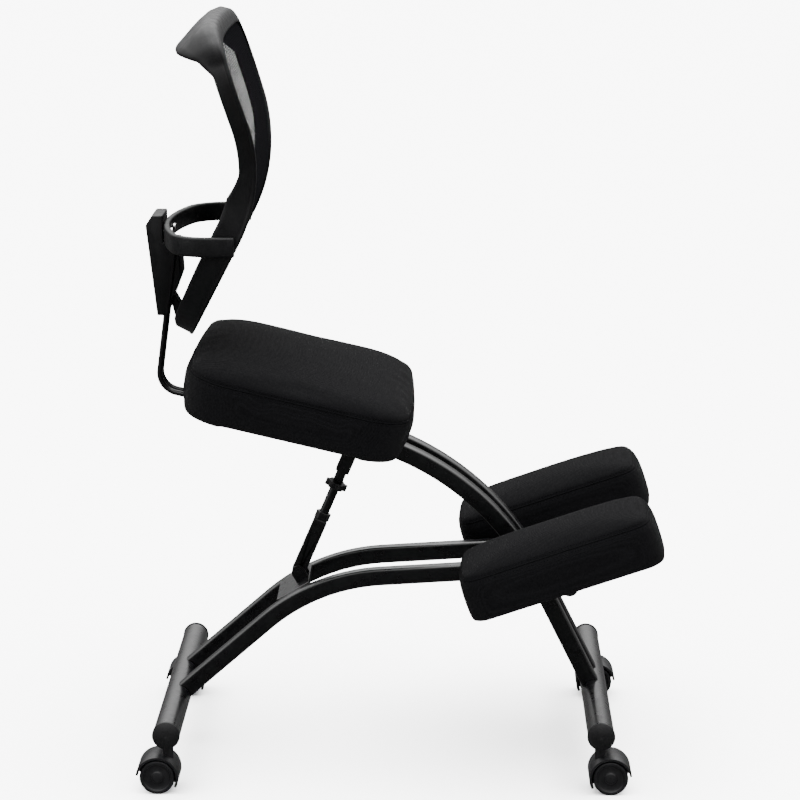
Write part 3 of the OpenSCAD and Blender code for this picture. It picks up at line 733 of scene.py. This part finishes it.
def inflate(obj, voxel, pressure, cap, still_below, relax):
    """Remeshes a shell, lets it swell as cloth with its base held, and caps how far it moves."""
    remesh = obj.modifiers.new("remesh", "REMESH")
    remesh.mode = "VOXEL"
    remesh.voxel_size = voxel
    graph = bpy.context.evaluated_depsgraph_get()
    mesh = bpy.data.meshes.new_from_object(obj.evaluated_get(graph))
    obj.modifiers.clear()
    obj.data = mesh
    count = len(mesh.vertices)
    rest = np.zeros(count * 3, np.float32)
    mesh.vertices.foreach_get("co", rest)
    rest = rest.reshape(-1, 3)
    held = obj.vertex_groups.new(name="held")
    held.add([i for i in range(count) if rest[i, 2] < still_below], 1.0, "REPLACE")
    cloth = obj.modifiers.new("cloth", "CLOTH")
    cloth.settings.vertex_group_mass = "held"
    cloth.settings.use_pressure = True
    cloth.settings.uniform_pressure_force = pressure
    cloth.settings.effector_weights.gravity = 0.0
    cloth.settings.tension_stiffness = CLOTH_STIFFNESS
    cloth.settings.compression_stiffness = CLOTH_STIFFNESS
    cloth.settings.bending_stiffness = CLOTH_STIFFNESS
    scene = bpy.context.scene
    for number in range(1, SWELL_FRAMES + 1):
        scene.frame_set(number)
    graph = bpy.context.evaluated_depsgraph_get()
    swollen = obj.evaluated_get(graph).data
    moved = np.zeros(count * 3, np.float32)
    swollen.vertices.foreach_get("co", moved)
    moved = moved.reshape(-1, 3) - rest
    far = np.linalg.norm(moved, axis=1, keepdims=True)
    moved *= np.minimum(1.0, cap / np.maximum(far, 1e-9))
    obj.modifiers.clear()
    obj.vertex_groups.clear()
    scene.frame_set(1)
    rest = rest + moved
    obj.data.vertices.foreach_set("co", rest.ravel())
    bm = bmesh.new()
    bm.from_mesh(obj.data)
    for _ in range(relax):
        bmesh.ops.smooth_vert(bm, verts=bm.verts, factor=0.5, use_axis_x=True, use_axis_y=True,
                              use_axis_z=True)
    bm.to_mesh(obj.data)
    bm.free()
    obj.data.polygons.foreach_set("use_smooth", [True] * len(obj.data.polygons))
    obj.data.update()


def crease(obj, height, depth, reach):
    """Pulls the sides in along the line that a seam will follow."""
    for vertex in obj.data.vertices:
        co, normal = vertex.co, vertex.normal
        sideways = Vector((normal.x, normal.y, 0.0))
        pull = depth * math.exp(-(((co.z - height) / reach) ** 2)) * sideways.length
        vertex.co = co - normal * pull
    obj.data.update()


def surface_ring(tree, length, width, corner, height):
    """Points and normals on a cushion's side at one height, all the way round."""
    ring = []
    for u, v, angle in outline_points(length, width, corner, grow=30.0, count_corner=24, count_side=40):
        start = Vector((u * MM, v * MM, height))
        inwards = Vector((-math.cos(angle), -math.sin(angle), 0.0))
        hit, normal, _, _ = tree.ray_cast(start, inwards, 0.1)
        if hit is not None:
            ring.append((hit, normal))
    return ring


def seam_parts(ring, radius):
    """A closed welt along a ring of surface points."""
    count = len(ring)
    stations = []
    for i, (place, normal) in enumerate(ring):
        along = (ring[(i + 1) % count][0] - ring[i - 1][0]).normalized()
        side = along.cross(normal).normalized()
        stations.append((place, normal, side))
    return sweep(stations, circle(radius, 8), closed=True)


# A stitch's stations: (share of its half length, share of its radius, lift in radii)
STITCH_FORM = ((-1.0, 0.35, -0.3), (-0.6, 0.95, 0.25), (0.6, 0.95, 0.25), (1.0, 0.35, -0.3))


def stitch_parts(ring, pitch, length, radius):
    """Short raised stitches along a ring of surface points."""
    parts = []
    travelled, due = 0.0, 0.0
    for i, (place, normal) in enumerate(ring):
        following = ring[(i + 1) % len(ring)][0]
        step = following - place
        span = step.length
        while due < travelled + span:
            middle = place + step * ((due - travelled) / span)
            along = step.normalized()
            side = along.cross(normal).normalized()
            stations = []
            for share, swell, lift in STITCH_FORM:
                origin = middle + along * (share * length / 2 * MM) + normal * (lift * radius * MM)
                stations.append((origin, normal * swell, side * swell))
            parts.append(sweep(stations, circle(radius, 6)))
            due += pitch * MM
        travelled += span
    return parts


STITCH_OFFSET = 4.0


def add_cushion(name, size, corner, side, crown, bow, skirt, layers, seam_at, place, body, replaced):
    """A cushion of size (length, width), puffed, creased and sewn, then moved by the matrix place."""
    length, width = size
    shell = build(name, *cushion_shell(length, width, corner, side, crown, bow, skirt, layers), FABRIC)
    inflate(shell, voxel=0.005, pressure=3.0, cap=0.004, still_below=0.003, relax=7)
    crease(shell, seam_at * MM, depth=0.0022, reach=0.0035)
    subdivision = shell.modifiers.new("subdivision", "SUBSURF")
    subdivision.levels = 1
    subdivision.render_levels = 1
    graph = bpy.context.evaluated_depsgraph_get()
    fine = bpy.data.meshes.new_from_object(shell.evaluated_get(graph))
    shell.modifiers.clear()
    shell.data = fine
    fine.polygons.foreach_set("use_smooth", [True] * len(fine.polygons))
    tree = BVHTree.FromPolygons([v.co for v in fine.vertices], [p.vertices for p in fine.polygons])
    welt = surface_ring(tree, length, width, corner, seam_at * MM)
    sewing = [seam_parts(welt, radius=1.0)]
    for offset in (-STITCH_OFFSET, STITCH_OFFSET):
        row = surface_ring(tree, length, width, corner, (seam_at + offset) * MM)
        sewing += stitch_parts(row, pitch=4.5, length=3.0, radius=0.4)
    seams = build(name + "_seams", *merged(sewing), THREAD)
    for obj in (shell, seams):
        obj.data.transform(place)
    finish_piece(shell, body, "fabric", *replaced)
    finish_piece(seams, body, "fabric")


def tilted(x, z, y, pitch):
    """The matrix that puts a cushion's base on [x, z], pitched up towards the front by pitch degrees."""
    return Matrix.Translation(at(x, y, z)) @ Matrix.Rotation(-math.radians(pitch), 4, "Y")


SEAT_TILT = 13.5
SEAT_AT = (185.0, 511.6)
SEAT_BACKSET = -6.0
CUSHION_GAP = 0.3
seat_shift = Vector((SEAT_BACKSET, 0.0, CUSHION_GAP)) * MM
seat_place = tilted(*SEAT_AT, 0.0, -SEAT_TILT) @ Matrix.Translation(seat_shift)
SEAT_FORM = ((0.0, -9), (0.03, -5), (0.12, -3), (0.3, -1), (0.55, 2), (0.75, 4), (0.9, 3), (1.0, -3))
add_cushion("seat_pad", (308, 404), corner=60, side=64, crown=17, bow=11, skirt=(11, 60, 400, 0),
            layers=SEAT_FORM, seam_at=51, place=seat_place, body="seat_frame",
            replaced=("seat_cushion", "seat_board"))

PAD_TILT = 18.7
PAD_RISE = 16.5
PAD_Y = 148.0
PAD_FORM = ((0.0, -2), (0.03, 0), (0.12, 1), (0.3, 1), (0.55, 1), (0.75, 0), (0.9, -3), (1.0, -10))
knee_low, knee_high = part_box("knee_tube")
knee_x = ((knee_low.x + knee_high.x) / 2 - BAR_X) / MM
knee_z = (knee_low.z + knee_high.z) / 2 / MM
pad_x = knee_x - PAD_RISE * math.sin(math.radians(PAD_TILT))
pad_z = knee_z + PAD_RISE * math.cos(math.radians(PAD_TILT))
for side_name, side in (("left", 1), ("right", -1)):
    pad_shift = Vector((0.0, 0.0, CUSHION_GAP)) * MM
    pad_place = tilted(pad_x, pad_z, side * PAD_Y, PAD_TILT) @ Matrix.Translation(pad_shift)
    replaced = ["knee_pad_" + side_name] + (["pad_boards"] if side > 0 else [])
    add_cushion("knee_cushion_" + side_name, (280, 156), corner=24, side=60, crown=14, bow=5,
                skirt=(13, 55, 60, side), layers=PAD_FORM, seam_at=52, place=pad_place, body="lower_frame",
                replaced=replaced)


# ------------------------------------------------------------------ casters

# One wheel's section as (radius, distance outwards from its middle), in millimetres
WHEEL_PROFILE = (
    (3.2, -7.5), (22.6, -7.5), (24.2, -7.0), (25.0, -5.4), (25.0, 0.0), (25.0, 5.4), (24.2, 7.0),
    (22.8, 7.5), (20.2, 7.5), (19.6, 7.1), (19.2, 5.6), (18.6, 5.0), (9.0, 5.0), (8.4, 5.4), (8.0, 6.9),
    (7.2, 7.3), (0.6, 7.4),
)


def lathe(profile, centre, axis, across, sides=64):
    """A profile of (radius, distance along the axis) in millimetres, turned about an axis through centre."""
    other = axis.cross(across)
    rows = []
    for i in range(sides):
        a = 2 * math.pi * i / sides
        out = across * math.cos(a) + other * math.sin(a)
        rows.append([centre + out * (r * MM) + axis * (w * MM) for r, w in profile])
    count = len(profile)
    points = [rows[j][i] for i in range(count) for j in range(sides)]
    return points, tube_faces(count, sides, False)


def add_wheels():
    for corner in ("rl", "rr", "fl", "fr"):
        hood_low, hood_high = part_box("caster_hood_" + corner)
        hood_y = (hood_low.y + hood_high.y) / 2
        for place in ("outer", "inner"):
            node = f"wheel_{corner}_{place}"
            low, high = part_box(node)
            centre = (low + high) / 2
            axis = Vector((0.0, 1.0 if centre.y > hood_y else -1.0, 0.0))
            form = lathe(WHEEL_PROFILE, centre, axis, Vector((1, 0, 0)))
            wheel = build(f"caster_wheel_{corner}_{place}", *form, WHEEL_NYLON)
            wheel.data.set_sharp_from_angle(angle=math.radians(50))
            finish_piece(wheel, node, "wheel_nylon", node)


add_wheels()


# ------------------------------------------------------------------ the CAD nodes that stay

# How far each node's sharp edges are rounded, in millimetres
SOFTEN = {
    "caster_hood": 1.0,
    "strut_lower_tube": 1.2,
    "strut_upper_tube": 1.2,
    "strut_nut": 0.8,
    "hand_nut": 1.0,
    "strut_clevis": 0.8,
    "strut_head_bracket": 0.8,
    "strut_cross_plate": 0.8,
    "seat_plate": 0.6,
    "pad_plates": 0.6,
    "rod_clamp": 1.0,
    "pivot_nut": 0.6,
    "back_foot_link": 1.5,
}


def soften(obj, width):
    """Rounds a CAD node's sharp edges with modifiers, leaving its mesh as it is."""
    weld = obj.modifiers.new("weld", "WELD")
    weld.merge_threshold = 0.00001
    bevel = obj.modifiers.new("bevel", "BEVEL")
    bevel.width = width * MM
    bevel.segments = 2
    bevel.limit_method = "ANGLE"
    bevel.angle_limit = math.radians(40)
    bevel.use_clamp_overlap = True


slot_of = {part["node"]: part["material_slot"] for part in frame["record"]["subparts"]}
for node_name, cad in nodes.items():
    cad.data.materials.clear()
    cad.data.materials.append(BY_SLOT[slot_of[node_name]])
    for prefix, width in SOFTEN.items():
        if node_name.startswith(prefix):
            soften(cad, width)

FLOOR_HALF = 30
floor_corners = [(x * FLOOR_HALF, y * FLOOR_HALF, 0) for x, y in ((-1, -1), (1, -1), (1, 1), (-1, 1))]
floor = build("floor", floor_corners, [(0, 1, 2, 3)], floor_finish())
floor.visible_glossy = False
add_studio()
add_camera()
